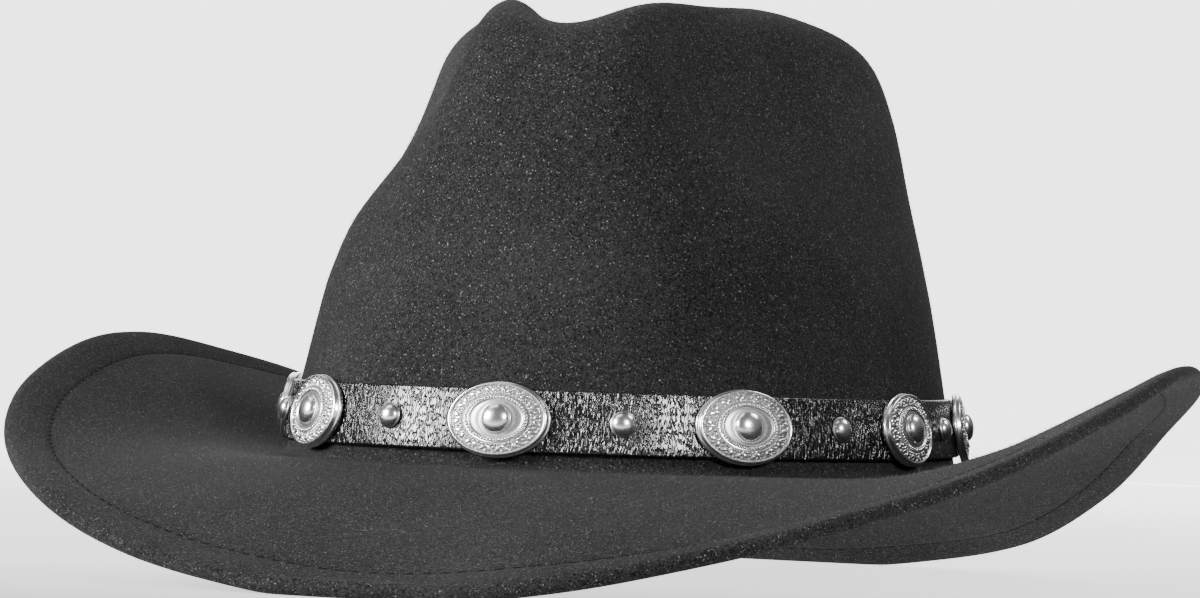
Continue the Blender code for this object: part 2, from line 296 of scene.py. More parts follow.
def crownPoints(angle, section):
    # points of the creased and pinched crown, in the middle of the felt
    height, front, back, side, narrowing = section
    length = np.where(np.cos(angle) > 0, front, back)
    x, ratio = ovalPoint(angle, 1, halfWidth * side, felt["headPower"])
    y = ratio * halfLength * length
    x = x * (1 + narrowing * ratio)
    depth, spread = smoothRow(crease, y / halfLength)
    across = np.minimum(abs(x) / (spread * halfWidth), 1)
    fade = felt["creaseDepth"] * depth * height ** felt["creaseFade"]
    z = felt["crownHeight"] * height - fade * (1 + np.cos(np.pi * across)) / 2
    hollow, place, ahead, behind = smoothRow(pinch, height)
    along = y / halfLength - place
    along = along / np.where(along < 0, ahead, behind)
    outer = np.minimum(abs(x) / (felt["pinchNose"] * halfWidth), 1)
    x = x - np.sign(x) * felt["pinchDepth"] * hollow * np.exp(-(along**2)) * outer**2
    return stacked(x, y, z + felt["crownLean"] * y)


def wallPoints(angle, height, inset):
    # points of the straight wall under the band
    x, y = ovalPoint(angle, halfLength - inset, halfWidth - inset, felt["headPower"])
    return stacked(x, y, height + felt["crownLean"] * y)


def rimPoints(angle):
    brimLength = np.where(np.cos(angle) > 0, felt["brimFront"], felt["brimBack"])
    rimWidth = halfWidth + felt["brimSide"]
    x, y = ovalPoint(angle, halfLength + brimLength, rimWidth, felt["rimPower"])
    turn = np.degrees(angle)
    drop, lift = smoothRow(rim, np.minimum(turn, 360 - turn))
    return stacked(x, y, felt["brimRise"] * lift - felt["brimDip"] * drop)


def brimPoints(angle, share, inset):
    # points of the brim, that share of the way from the crown to the line inset from the rim
    start = wallPoints(angle, 0, -felt["breakRadius"])
    end = rimPoints(angle)
    share = share * (1 - inset / np.linalg.norm(end - start, axis=-1))
    points = start + (end - start) * share[..., None]
    raised = np.maximum(end[..., 2], 0) / felt["brimRise"]
    sweep = felt["brimSweep"] + (felt["raisedSweep"] - felt["brimSweep"]) * raised
    rise = (end - start)[..., 2] * share**sweep
    above = start[..., 2] + rise - restLevel
    points[..., 2] = restLevel + (above + np.hypot(above, felt["restSoftness"])) / 2
    return points


def feltRings():
    # rings of the felt's middle surface from the crown's top to the rim: points, thickness,
    # distance from the rim, and how much of the unevenness and of the fibres each takes
    angle = evenAngles(felt["columns"], halfLength, halfWidth, felt["headPower"])[None]
    bandTop = felt["breakRadius"] + band["width"]
    top = (bandTop / felt["crownHeight"],)
    top += (1 - band["lean"] / halfLength,) * 2 + (1 - band["lean"] / halfWidth, 0.0)
    sections = [(i, *row) for i, row in enumerate((top, *crownSections))]
    last = len(sections) - 1
    level = np.linspace(last - felt["topHole"], 0, felt["crownRings"], endpoint=False)[:, None]
    crown = crownPoints(angle, smoothRow(sections, level))
    fall = np.linspace(0, 1, 5)[:, None]
    wall = wallPoints(angle, bandTop - band["width"] * fall, band["lean"] * (1 - fall))
    turn = np.linspace(0, np.pi / 2, 6)[1:-1, None]
    radius = felt["breakRadius"]
    bend = wallPoints(angle, radius * (1 - np.sin(turn)), -radius * (1 - np.cos(turn)))
    inner = felt["hemWidth"] + felt["hemRounding"]
    outer = felt["hemWidth"] - felt["hemRounding"]
    shares = np.linspace(0, 1, felt["brimRings"])[:, None]
    brim = brimPoints(angle, shares, inner)
    edge = felt["hemThickness"] / 2
    inset = np.concatenate((
        np.linspace(inner, outer, 9)[1:],
        np.linspace(outer, felt["hemSlope"], 5)[1:],
        np.linspace(felt["hemSlope"], edge, 4)[1:],
        edge * (1 - np.sin(np.linspace(0, np.pi / 2, 7)[1:])),
    ))[:, None]
    hem = brimPoints(angle, np.ones_like(inset), inset)
    places = (felt["hemSlope"], outer, felt["hemWidth"])
    thick = np.interp(inset[:, 0], places, (1, felt["hemThin"], 0))
    thick = felt["stitchGroove"] + (felt["hemThickness"] - felt["stitchGroove"]) * thick
    lip = np.clip((inset[:, 0] - felt["hemWidth"]) / felt["hemRounding"], 0, 1)
    thick += (felt["thickness"] - felt["stitchGroove"]) * lip
    round_ = np.clip(1 - inset[:, 0] / edge, 0, 1)
    thick = np.where(round_ > 0, felt["hemThickness"] * np.sqrt(1 - round_**2), thick)
    flat = len(crown) + len(wall) + len(bend) + len(brim)
    points = np.concatenate((crown, wall, bend, brim, hem))
    thickness = np.concatenate((np.full(flat, felt["thickness"]), thick))
    brimWidth = (1 - shares[:, 0]) * felt["brimSide"] + inner
    far = np.full(flat - len(brim), felt["brimSide"] + inner)
    distance = np.concatenate((far, brimWidth, inset[:, 0]))
    free = np.concatenate((
        np.clip(level[:, 0] / 1.5, 0, 1),
        np.zeros(len(wall) + len(bend)),
        np.clip(shares[:, 0] * 3, 0, 1),
        np.ones(len(hem)),
    ))
    ringNumber = np.arange(len(points))[:, None]
    uneven = felt["unevenness"] * free[:, None] * sum(
        np.sin(count * angle + phase + twist * ringNumber) * share
        for count, phase, twist, share in waves
    )
    lift = np.clip((points[..., 2] - restLevel) / felt["restFade"], 0, 1)
    return points, thickness, distance, free, uneven * lift


def ringNormals(points):
    above = np.concatenate((points[:1], points[:-1]))
    below = np.concatenate((points[1:], points[-1:]))
    roundWay = np.roll(points, -1, axis=1) - np.roll(points, 1, axis=1)
    normals = np.cross(below - above, roundWay)
    return normals / np.linalg.norm(normals, axis=-1, keepdims=True)


def newMesh(name, points, faces, material, uv=None, attributes=None):
    # an object with its place in its mesh: uv has a value for each corner, attributes for each
    # point
    mesh = bpy.data.meshes.new(name)
    mesh.from_pydata([tuple(p) for p in points], [], faces)
    if uv is not None:
        layer = mesh.uv_layers.new(name="surface")
        layer.data.foreach_set("uv", np.asarray(uv, np.float32).ravel())
    for key, values in (attributes or {}).items():
        wide = np.ndim(values) == 2
        layer = mesh.attributes.new(key, "FLOAT_VECTOR" if wide else "FLOAT", "POINT")
        kind = "vector" if wide else "value"
        layer.data.foreach_set(kind, np.asarray(values, np.float32).ravel())
    if material:
        mesh.materials.append(material)
    mesh.shade_smooth()
    return placed(name, mesh)


def ringFaces(rings, columns, closed=False):
    # quads of a stack of rings, as rows of point numbers
    first = np.arange(rings if closed else rings - 1)[:, None] * columns
    second = (first + columns) % (rings * columns)
    j = np.arange(columns)[None]
    k = (j + 1) % columns
    return np.stack((first + j, second + j, second + k, first + k), axis=-1).reshape(-1, 4)


def capFaces(rings, columns):
    # fans that close such a stack, to a point above its first ring and one below its last
    j = np.arange(columns)
    k = (j + 1) % columns
    top, last = rings * columns, (rings - 1) * columns
    fans = [(top, a, b) for a, b in zip(j, k)]
    return fans + [(top + 1, last + b, last + a) for a, b in zip(j, k)]


def ringUv(columns, across, down, closed=False):
    # uv corners of those quads; across runs from 0 to its value all the way round
    v = np.asarray(down, float)
    low = v if closed else v[:-1]
    high = v[1:] if not closed else np.append(v[1:], v[-1] * 2 - v[-2])
    j = np.arange(columns) * across / columns
    k = j + across / columns
    rows = []
    for a, b in zip(low, high):
        rows.append(np.stack((
            np.stack((j, np.full(columns, a)), -1),
            np.stack((j, np.full(columns, b)), -1),
            np.stack((k, np.full(columns, b)), -1),
            np.stack((k, np.full(columns, a)), -1),
        ), axis=1))
    return np.concatenate(rows).reshape(-1, 2)


def feltMaterial():
    look = {
        "dark": (0.0015, 0.0015, 0.0017, 1),
        "light": (0.034, 0.034, 0.035, 1),
        "fleck": (0.24, 0.24, 0.245, 1),
        "patchSize": 22,  # waves per metre, as for every noise here
        "napSize": 700,
        "grainSize": 2100,
        "fleckSize": 2300,
        "patchShare": 0.2,
        "napShare": 0.3,
        "grainShare": 0.9,
        "toneShift": -0.2,
        "toneRange": (0.25, 0.80),
        "fleckRange": (0.66, 0.76),
        "fleckShare": 0.6,
        "grooveReach": (0.0003, 0.0025),  # from the stitches, in square centimetres
        "dashRange": (-0.4, 0.6),
        # painted shade in the hem's stitch groove, darkest at each stitch: its strength, then its
        # darker colour
        "paintedGrooveShade": 0.75,
        "groove": (0.008, 0.008, 0.009, 1),
        "relief": 0.0006,
    }
    constants = {
        "Roughness": 0.92,
        "Specular IOR Level": 0.045,
        "Sheen Weight": 0.022,
        "Sheen Roughness": 0.45,
        "Sheen Tint": (0.80, 0.80, 0.83, 1),
    }
    material, wire, shader = newMaterial("feltNap", constants)
    place = wire.node("ShaderNodeTexCoord", output="Object")
    patches = place.noise(look["patchSize"], 3, 0.6)
    nap = place.noise(look["napSize"], 5, 0.65, 0.6)
    grain = place.noise(look["grainSize"], 3, 0.6, 0.8)
    tone = patches * look["patchShare"] + nap * look["napShare"]
    tone = tone + grain * look["grainShare"] + look["toneShift"]
    colour = tone.ramp(*look["toneRange"]).between(look["dark"], look["light"])
    fleck = place.noise(look["fleckSize"], 1, 0.5).ramp(*look["fleckRange"])
    colour = (fleck * look["fleckShare"]).between(colour, look["fleck"])
    u, v, _ = wire.node("ShaderNodeUVMap", {"uv_map": "surface"}).parts()
    away = v - felt["hemWidth"] * 100  # the uv runs in centimetres from the rim
    line = (away * away).ramp(*look["grooveReach"], 1, 0)
    dash = wire.node("ShaderNodeMath", {"operation": "COSINE"}, {0: u * math.tau})
    # mask of the groove and its stitch dimples: it dips the bump, and it also paints their shade
    # into the colour
    stitchDipAndShade = line * dash.ramp(*look["dashRange"], 0.2, 1)
    # painted shade: the groove and its stitches are darkened in the felt's colour
    colour = (stitchDipAndShade * look["paintedGrooveShade"]).between(colour, look["groove"])
    wire.feed(shader.inputs["Base Color"], colour)
    relief = (nap * 0.6 + grain * 0.4).bump(0.5, look["relief"])
    wire.feed(shader.inputs["Normal"], (1 - stitchDipAndShade).bump(0.6, look["relief"], relief))
    return material


def makeFelt(material):
    points, thickness, distance, free, uneven = feltRings()
    normals = ringNormals(points)
    points = points + normals * uneven[..., None]
    half = (thickness / 2)[:, None, None]
    outer, inner = points + normals * half, points - normals * half
    stack = np.concatenate((outer, inner[-2::-1]))
    rings, columns = stack.shape[:2]
    depth = smoothRow(crease, np.array(0.0))[0] * felt["creaseDepth"]
    top = np.array((0, 0, felt["crownHeight"] - depth))
    skin = np.array((0, 0, felt["thickness"] / 2))
    flat = np.concatenate((stack.reshape(-1, 3), [top + skin, top - skin])) + crownFoot
    flat[:, 2] = np.maximum(flat[:, 2], 0)
    faces = ringFaces(rings, columns)
    fans = capFaces(rings, columns)
    down = np.concatenate((distance, distance[-2::-1])) * 100
    uv = ringUv(columns, stitches["count"], down)
    uv = np.concatenate((uv, np.tile((0, distance[0] * 100), (len(fans) * 3, 1))))
    under = free * (distance < felt["fuzzReach"])
    fuzz = np.concatenate((np.clip(free * 4, 0, 1), under[-2::-1]))
    fuzz = np.append(np.repeat(fuzz, columns), (1, 0))
    made = newMesh("feltBody", flat, faces.tolist() + fans, material, uv, {"fuzz": fuzz})
    seam = int(np.argmin(abs(distance - felt["hemWidth"])))
    seams = [(outer[seam], normals[seam]), (inner[seam], -normals[seam])]
    return made, [(ring + crownFoot, normal) for ring, normal in seams]


def nodeGroup(name, sizes):
    # a geometry tree with named inputs: returns it, a wire, the geometry and the inputs by name
    tree = bpy.data.node_groups.new(name, "GeometryNodeTree")
    tree.interface.new_socket("Geometry", in_out="OUTPUT", socket_type="NodeSocketGeometry")
    tree.interface.new_socket("Geometry", in_out="INPUT", socket_type="NodeSocketGeometry")
    for key, value in sizes.items():
        kind = "NodeSocketInt" if isinstance(value, int) else "NodeSocketFloat"
        tree.interface.new_socket(key, in_out="INPUT", socket_type=kind)
    start = tree.nodes.new("NodeGroupInput")
    return tree, {out.name: Wire(tree, out) for out in start.outputs if out.name}


def endGroup(tree, geometry, material, smooth=True):
    # every tree ends alike: real geometry, its shading, its material
    geometry = geometry.node("GeometryNodeRealizeInstances", {}, {"Geometry": geometry})
    if smooth:
        geometry = geometry.node("GeometryNodeSetShadeSmooth", {}, {"Geometry": geometry})
    values = {"Geometry": geometry, "Material": material}
    geometry = geometry.node("GeometryNodeSetMaterial", {}, values)
    end = tree.nodes.new("NodeGroupOutput")
    tree.links.new(geometry.out, end.inputs[0])


def grow(name, base, tree, sizes):
    # runs a tree on an object and keeps its result as a plain mesh at the origin
    modifier = base.modifiers.new(tree.name, "NODES")
    modifier.node_group = tree
    for item in tree.interface.items_tree:
        if item.in_out == "INPUT" and item.name in sizes:
            modifier[item.identifier] = sizes[item.name]
    grown = base.evaluated_get(bpy.context.evaluated_depsgraph_get())
    mesh = bpy.data.meshes.new_from_object(grown)
    base.modifiers.remove(modifier)
    return placed(name, mesh)


def edgeRing(name, points, normals, closed=True):
    # a closed line of points that a tree can follow, with the way up at each point
    count = len(points)
    mesh = bpy.data.meshes.new(name)
    edges = [(i, (i + 1) % count) for i in range(count if closed else 0)]
    mesh.from_pydata([tuple(p) for p in points], edges, [])
    layer = mesh.attributes.new("upright", "FLOAT_VECTOR", "POINT")
    layer.data.foreach_set("vector", np.asarray(normals, np.float32).ravel())
    return placed(name, mesh)


def turned(geometry, along, upright):
    # a rotation with X along a path and Z upright
    align = "FunctionNodeAlignRotationToVector"
    turn = geometry.node(align, {"axis": "X"}, {"Vector": along})
    values = {"Rotation": turn, "Vector": upright}
    return geometry.node(align, {"axis": "Z", "pivot_axis": "X"}, values)


def evenPath(geometry, count):
    # the line of an edgeRing with that many points, evenly spaced
    path = geometry.node("GeometryNodeMeshToCurve", {}, {"Mesh": geometry})
    values = {"Curve": path, "Count": count}
    return path.node("GeometryNodeResampleCurve", {"mode": "COUNT"}, values)


def readVector(geometry, name):
    settings = {"data_type": "FLOAT_VECTOR"}
    return geometry.node("GeometryNodeInputNamedAttribute", settings, {"Name": name})


# stitches of the hem
stitches = {
    "count": 256,
    "length": 0.0028,
    "thread": 0.00046,
    "sink": 0.00008,
}


def threadMaterial():
    look = {
        "dark": (0.001, 0.001, 0.001, 1),
        "light": (0.006, 0.006, 0.006, 1),
        "twistSize": 3200,
    }
    constants = {"Roughness": 0.85, "Specular IOR Level": 0.1}
    material, wire, shader = newMaterial("hemThread", constants)
    place = wire.node("ShaderNodeTexCoord", output="Object")
    twist = place.noise(look["twistSize"], 2, 0.6, 1.5)
    colour = twist.ramp(0.3, 0.8).between(look["dark"], look["light"])
    wire.feed(shader.inputs["Base Color"], colour)
    wire.feed(shader.inputs["Normal"], twist.bump(0.4, 0.0001))
    return material


def stitchTree(material):
    sizes = {"Count": 1, "Length": 0.0, "Thread": 0.0}
    tree, given = nodeGroup("hemStitches", sizes)
    geometry = given["Geometry"]
    path = evenPath(geometry, given["Count"])
    along = path.node("GeometryNodeInputTangent")
    turn = turned(path, along, readVector(path, "upright"))
    sphere = path.node("GeometryNodeMeshUVSphere", {}, {"Segments": 8, "Rings": 5, "Radius": 0.5})
    size = {"X": given["Length"], "Y": given["Thread"], "Z": given["Thread"]}
    scale = path.node("ShaderNodeCombineXYZ", {}, size)
    values = {"Points": path, "Instance": sphere, "Rotation": turn, "Scale": scale}
    endGroup(tree, path.node("GeometryNodeInstanceOnPoints", {}, values), material)
    return tree


def makeStitches(seams, material):
    made = []
    tree = stitchTree(material)
    for name, (ring, normal) in zip(("hemStitchesTop", "hemStitchesUnder"), seams):
        base = edgeRing("seam", ring - normal * stitches["sink"], normal)
        sizes = {"Count": stitches["count"], "Length": stitches["length"]}
        made.append(grow(name, base, tree, {**sizes, "Thread": stitches["thread"]}))
        bpy.data.objects.remove(base)
    return made


# loose fibres that stand off the felt
fibres = {
    "perSquareMetre": 150000.0,
    "length": 0.0013,
    "thick": 0.000034,
    "seed": 11,
    "lean": (1.25, 1.25, 3.1),  # most that a fibre is turned away from upright, in radians
    "shortest": 0.4,  # shares of the length and thickness
    "longest": 1.3,
}


def fibreMaterial():
    look = {
        "dark": (0.012, 0.012, 0.013, 1),
        "light": (0.16, 0.16, 0.165, 1),
        "toneSize": 600,
    }
    constants = {"Roughness": 0.7, "Sheen Weight": 0.4, "Sheen Roughness": 0.5}
    material, wire, shader = newMaterial("looseFibres", constants)
    place = wire.node("ShaderNodeTexCoord", output="Object")
    tone = place.noise(look["toneSize"], 2, 0.6).ramp(0.52, 0.72)
    wire.feed(shader.inputs["Base Color"], tone.between(look["dark"], look["light"]))
    return material


def makeFibres(body, material):
    sizes = {"Density": 0.0, "Length": 0.0, "Thick": 0.0, "Seed": 1}
    tree, given = nodeGroup("feltFibres", sizes)
    geometry = given["Geometry"]
    settings = {"data_type": "FLOAT"}
    fuzz = geometry.node("GeometryNodeInputNamedAttribute", settings, {"Name": "fuzz"})
    settings = {"distribute_method": "RANDOM"}
    values = {"Mesh": geometry, "Density": given["Density"] * fuzz, "Seed": given["Seed"]}
    points = geometry.node("GeometryNodeDistributePointsOnFaces", settings, values)
    upright = Wire(tree, points.out.node.outputs["Rotation"])
    lean = points.node(
        "FunctionNodeRandomValue",
        {"data_type": "FLOAT_VECTOR"},
        {"Min": tuple(-a for a in fibres["lean"]), "Max": fibres["lean"], "Seed": given["Seed"]},
    )
    lean = points.node("FunctionNodeEulerToRotation", {}, {"Euler": lean})
    values = {"Rotation": upright, "Rotate By": lean}
    turn = points.node("FunctionNodeRotateRotation", {"rotation_space": "LOCAL"}, values)
    values = {"Vertices": 3, "Radius Top": 0.0, "Radius Bottom": 1.0, "Depth": 1.0}
    needle = points.node("GeometryNodeMeshCone", {}, values)
    size = points.node(
        "FunctionNodeRandomValue",
        {"data_type": "FLOAT"},
        {"Min": fibres["shortest"], "Max": fibres["longest"], "Seed": given["Seed"]},
        "Value",
    )
    reach = {"X": given["Thick"], "Y": given["Thick"], "Z": given["Length"]}
    scale = points.node("ShaderNodeCombineXYZ", {}, reach) * size
    values = {"Points": points, "Instance": needle, "Rotation": turn, "Scale": scale}
    endGroup(tree, points.node("GeometryNodeInstanceOnPoints", {}, values), material, False)
    sizes = {
        "Density": fibres["perSquareMetre"],
        "Length": fibres["length"],
        "Thick": fibres["thick"],
        "Seed": fibres["seed"],
    }
    return grow("feltFibres", body, tree, sizes)


def bandFace(angle, height, inset, out):
    # points on or above the felt's wall, out from its outer face, and the way out there
    here = wallPoints(angle, height, inset)
    x, y = ovalPoint(angle, 1, 1, felt["headPower"])
    power = felt["headPower"] - 1
    normal = stacked(
        np.sign(x) * abs(x) ** power / halfWidth,
        np.sign(y) * abs(y) ** power / halfLength,
        0,
    )
    normal /= np.linalg.norm(normal, axis=-1, keepdims=True)
    normal[..., 2] = band["lean"] / band["width"]
    normal /= np.linalg.norm(normal, axis=-1, keepdims=True)
    return here + normal * np.asarray(felt["thickness"] / 2 + out)[..., None], normal


def leatherMaterial():
    look = {
        "dark": (0.0008, 0.0008, 0.0009, 1),
        "light": (0.0045, 0.0045, 0.005, 1),
        "warpSize": 140,
        "crinkleAlong": 1700,
        "crinkleAcross": 480,
        "poreSize": 4200,
        "driftSize": 200.0,
        "drift": 0.0014,
        "crinkleRange": (0.36, 0.60),
        "crinkleShare": 0.8,
        "poreShare": 0.06,
        "smoothest": 0.14,
        "warpRoughness": 0.08,
        "poreRoughness": 0.06,
        "relief": 0.00033,
    }
    constants = {"Specular IOR Level": 0.80}
    material, wire, shader = newMaterial("bandLeather", constants)
    uv = wire.node("ShaderNodeUVMap", {"uv_map": "surface"})
    warp = uv.noise(look["warpSize"], 2, 0.5)
    values = {"Vector": uv, "Scale": look["driftSize"]}
    drift = wire.node("ShaderNodeTexNoise", {"noise_dimensions": "3D"}, values, 1)
    wavy = uv + (drift - 0.5) * look["drift"]
    stretched = wavy * (look["crinkleAlong"], look["crinkleAcross"], 1)
    crinkle = stretched.noise(1, 1, 0.4)
    pores = wavy.noise(look["poreSize"], 2, 0.6)
    height = crinkle.ramp(*look["crinkleRange"]) * look["crinkleShare"]
    height = height + pores * look["poreShare"]
    colour = height.ramp(0.1, 0.9).between(look["dark"], look["light"])
    wire.feed(shader.inputs["Base Color"], colour)
    rough = look["smoothest"] + warp * look["warpRoughness"] + pores * look["poreRoughness"]
    wire.feed(shader.inputs["Roughness"], rough)
    wire.feed(shader.inputs["Normal"], height.bump(0.85, look["relief"]))
    return material


def makeBand(material):
    # a strip with rounded edges, from its back upwards and over to its face
    angle = evenAngles(band["columns"], halfLength, halfWidth, felt["headPower"])[None]
    low, high = felt["breakRadius"] + band["gap"], felt["breakRadius"] + band["width"]
    near, far, bend = band["gap"], band["gap"] + band["thickness"], band["rounding"]
    corners = ((high, near, 1, -1), (high, far, -1, -1), (low, far, -1, 1), (low, near, 1, 1))
    height, out = [], []
    for number, (level, depth, inward, upward) in enumerate(corners):
        for turn in np.linspace(0, np.pi / 2, 5):
            a, b = 1 - math.cos(turn), 1 - math.sin(turn)
            a, b = (a, b) if number % 2 == 0 else (b, a)
            a, b = (b, a) if number in (0, 2) else (b, a)
            height.append(level + upward * bend * a)
            out.append(depth + inward * bend * b)
        if number == 1:
            for level in np.linspace(high - bend, low + bend, 8)[1:-1]:
                height.append(level)
                out.append(far)
    height, out = np.array(height)[:, None], np.array(out)[:, None]
    inset = band["lean"] * (height - felt["breakRadius"]) / band["width"]
    points, _ = bandFace(angle, height, inset, out)
    rings, columns = points.shape[:2]
    ringLength = np.linalg.norm(np.diff(points[8], axis=0, append=points[8][:1]), axis=1).sum()
    run = np.concatenate(([0], np.cumsum(np.hypot(np.diff(height[:, 0]), np.diff(out[:, 0])))))
    uv = ringUv(columns, ringLength, run, closed=True)
    faces = ringFaces(rings, columns, closed=True).tolist()
    return newMesh("hatBand", points.reshape(-1, 3) + crownFoot, faces, material, uv)


# cast plates on the band
concho = {
    "count": 10,
    "length": 0.0255,
    "height": 0.0180,
    "thickness": 0.0016,
    "crowning": 0.0012,
    "domeWidth": 0.0072,
    "domeHeight": 0.0018,
    "relief": 0.00042,
    "bend": 0.12,  # radius that the plates follow round the band
    "sprays": 14,
    "sprayWidth": 1.35,  # over the width of the ornament's ring
    "grooveNarrowness": 3.2,  # of the groove along a leaf, against the leaf
    "groundHollow": 1.6,  # how fast the tarnish clears up the relief
    "beads": 52,
    "beadSize": 0.00064,
    "beadLine": 0.575,  # share of the oval
    "beadLift": 0.00008,
    "columns": 336,
    "ornamentRings": 24,
    "ground": -0.00012,  # height of the ornament's ground above the crowned face
    "dishPlace": 0.3,  # share of the oval at which the dish has its height
    "domeSink": 0.00022,  # how far the dome's foot lies under it
    "backShare": 0.985,
}
# the dish round the dome: share of the way to the section's first oval, drop, hollow
conchoDish = (
    (0.06, 0.0000564, 0.75),
    (0.35, 0.0000390, 0.35),
    (0.70, 0.0000180, 0.30),
)
# section from the dish outwards: share of the oval, height above the crowned face
conchoSection = (
    (0.48, -0.00022),
    (0.515, -0.00018),
    (0.528, 0.00010),
    (0.540, 0.00012),
    (0.552, -0.00006),
    (0.598, -0.00006),
    (0.612, 0.00010),
    (0.628, -0.00012),
)
# and its raised rim, over the edge to the back
conchoRim = (
    (0.890, -0.00012),
    (0.900, 0.00018),
    (0.915, 0.00034),
    (0.935, 0.00038),
    (0.952, 0.00030),
    (0.962, 0.00010),
    (0.965, -0.00060),
    (0.970, -0.00072),
    (0.990, -0.00074),
    (0.998, -0.00084),
    (1.000, -0.00100),
    (0.998, -0.00150),
)


def silverMaterial():
    look = {
        "bright": (0.92, 0.92, 0.91, 1),
        "tarnish": (0.07, 0.069, 0.068, 1),
        "tarnishShare": 0.80,
        "stainSize": 500,
        "wearSize": 2600,
        "stainShare": 0.25,
        "smoothest": 0.18,
        "wearRoughness": 0.12,
        "hollowRoughness": 0.25,
    }
    constants = {"Metallic": 1.0}
    material, wire, shader = newMaterial("castSilver", constants)
    place = wire.node("ShaderNodeTexCoord", output="Object")
    hollow = wire.node("ShaderNodeAttribute", {"attribute_name": "hollow"}, output="Fac")
    stain = place.noise(look["stainSize"], 4, 0.6)
    wear = place.noise(look["wearSize"], 3, 0.6)
    depth = (hollow + (stain - 0.5) * look["stainShare"]).ramp(0.15, 0.95)
    colour = (depth * look["tarnishShare"]).between(look["bright"], look["tarnish"])
    wire.feed(shader.inputs["Base Color"], colour)
    rough = look["smoothest"] + wear * look["wearRoughness"] + depth * look["hollowRoughness"]
    wire.feed(shader.inputs["Roughness"], rough)
    wire.feed(shader.inputs["Normal"], wear.bump(0.10, 0.00008))
    return material


# parts of one spray of the ornament: place round and outwards as shares of the spray and of the
# ring, turn in radians, length, width, depth of the groove along it, height
sprayParts = (
    (0.21, 0.60, 1.05, 0.310, 0.130, 0.55, 1.0),  # leaf
    (0.00, 0.82, 0.0, 0.100, 0.120, 0.0, 0.9),  # bud
    (0.00, 0.34, 1.571, 0.260, 0.050, 0.0, 0.8),  # stem
    (0.34, 0.24, -0.35, 0.170, 0.085, 0.0, 1.0),  # curl
    (0.50, 0.50, 0.0, 0.075, 0.085, 0.0, 0.8),  # seed
    (0.50, 0.86, 0.0, 0.140, 0.075, 0.0, 1.0),  # tip
    (0.14, 0.20, 0.0, 0.055, 0.065, 0.0, 0.7),  # dot
)


def ornament(round_, across):
    # height of the cast ring of sprays, 0 to 1: round_ counts sprays, across runs outwards
    side = abs((round_ + 0.5) % 1 - 0.5)
    heights = []
    for place, out, turn, length, width, groove, height in sprayParts:
        du, dv = (side - place) * concho["sprayWidth"], across - out
        a = (du * math.cos(turn) + dv * math.sin(turn)) / length
        b = (dv * math.cos(turn) - du * math.sin(turn)) / width
        shape = np.clip(1 - a**2 - b**2, 0, 1) ** 0.5
        narrow = b * concho["grooveNarrowness"]
        heights.append(shape * (1 - groove * np.exp(-(narrow**2))) * height)
    return np.maximum.reduce(heights)


def crowned(share):
    # height of the plate's smooth face, that share of the way out from its middle
    return concho["thickness"] + concho["crowning"] * (1 - share**2)


def conchoRings():
    # rings of half length, half height and height from the back, with hollows, then the columns
    full = (concho["length"] / 2, concho["height"] / 2)
    angle = evenAngles(concho["columns"], *full, 2.0)
    c, s = np.cos(angle), np.sin(angle)
    rings, hollows = [], []

    def add(a, b, z, hollow):
        rings.append(stacked(a * c, b * s, z))
        hollows.append(hollow + 0 * c)

    radius = concho["domeWidth"] / 2
    foot = crowned(concho["dishPlace"]) - concho["domeSink"]
    for turn in np.linspace(0, np.pi / 2, 11)[1:]:
        z = foot + (concho["domeHeight"] + 0.0002) * math.cos(turn)
        add(radius * math.sin(turn), radius * math.sin(turn), z, 0.0)
    dish = conchoSection[0][0]
    for share, drop, hollow in conchoDish:
        a = radius + (full[0] * dish - radius) * share
        b = radius + (full[1] * dish - radius) * share
        add(a, b, foot - drop, hollow)
    for share, lift in conchoSection:
        dark = 0.7 if lift < 0 else 0.05
        add(full[0] * share, full[1] * share, crowned(share) + lift, dark)
    inner, outer = conchoSection[-1][0], conchoRim[0][0]
    spray = np.arange(concho["columns"]) / concho["columns"] * concho["sprays"]
    for v in np.linspace(0, 1, concho["ornamentRings"]):
        share = inner + (outer - inner) * v
        height = ornament(spray, v)
        z = crowned(share) + concho["ground"] + concho["relief"] * height
        rings.append(stacked(full[0] * share * c, full[1] * share * s, z))
        hollows.append(np.clip(1 - height * concho["groundHollow"], 0, 1))
    for share, lift in conchoRim[1:]:
        dark = 0.55 if 0.963 < share < 0.975 else 0.0
        add(full[0] * share, full[1] * share, crowned(share) + lift, dark)
    add(full[0] * concho["backShare"], full[1] * concho["backShare"], 0.0, 0.0)
    return bent(np.array(rings)), np.array(hollows)


def bent(points):
    # points of a plate that follows the band round the crown
    points[..., 2] -= points[..., 0] ** 2 / (2 * concho["bend"])
    return points


def makeConchos(material):
    rings, hollows = conchoRings()
    count, columns = rings.shape[:2]
    local = np.concatenate((rings.reshape(-1, 3), [(0, 0, rings[0, 0, 2] + 0.00003), (0, 0, 0)]))
    hollow = np.append(hollows.ravel(), (0, 0))
    faces = ringFaces(count, columns).tolist() + capFaces(count, columns)
    plate = newMesh("plate", local, faces, material, None, {"hollow": hollow})
    line = concho["beadLine"]
    angle = evenAngles(240, concho["length"] / 2, concho["height"] / 2, 2.0)
    ring = bent(stacked(
        concho["length"] / 2 * line * np.cos(angle),
        concho["height"] / 2 * line * np.sin(angle),
        crowned(line) + concho["beadLift"],
    ))
    path = edgeRing("beadLine", ring, np.tile((0, 0, 1), (len(ring), 1)))
    sizes = {"Count": concho["beads"], "Size": concho["beadSize"]}
    beads = grow("beads", path, beadTree(material), sizes)
    made = []
    facets = evenAngles(concho["count"] * 2, halfLength, halfWidth, felt["headPower"])
    for number in range(concho["count"]):
        place = bandPlace(facets[number * 2])
        pair = []
        for source in (plate, beads):
            copy = source.data.copy()
            copy.transform(place)
            pair.append(placed("conchoPart", copy))
        made.append(joined(f"concho{number + 1}", pair))
    for helper in (plate, path, beads):
        bpy.data.objects.remove(helper)
    return made


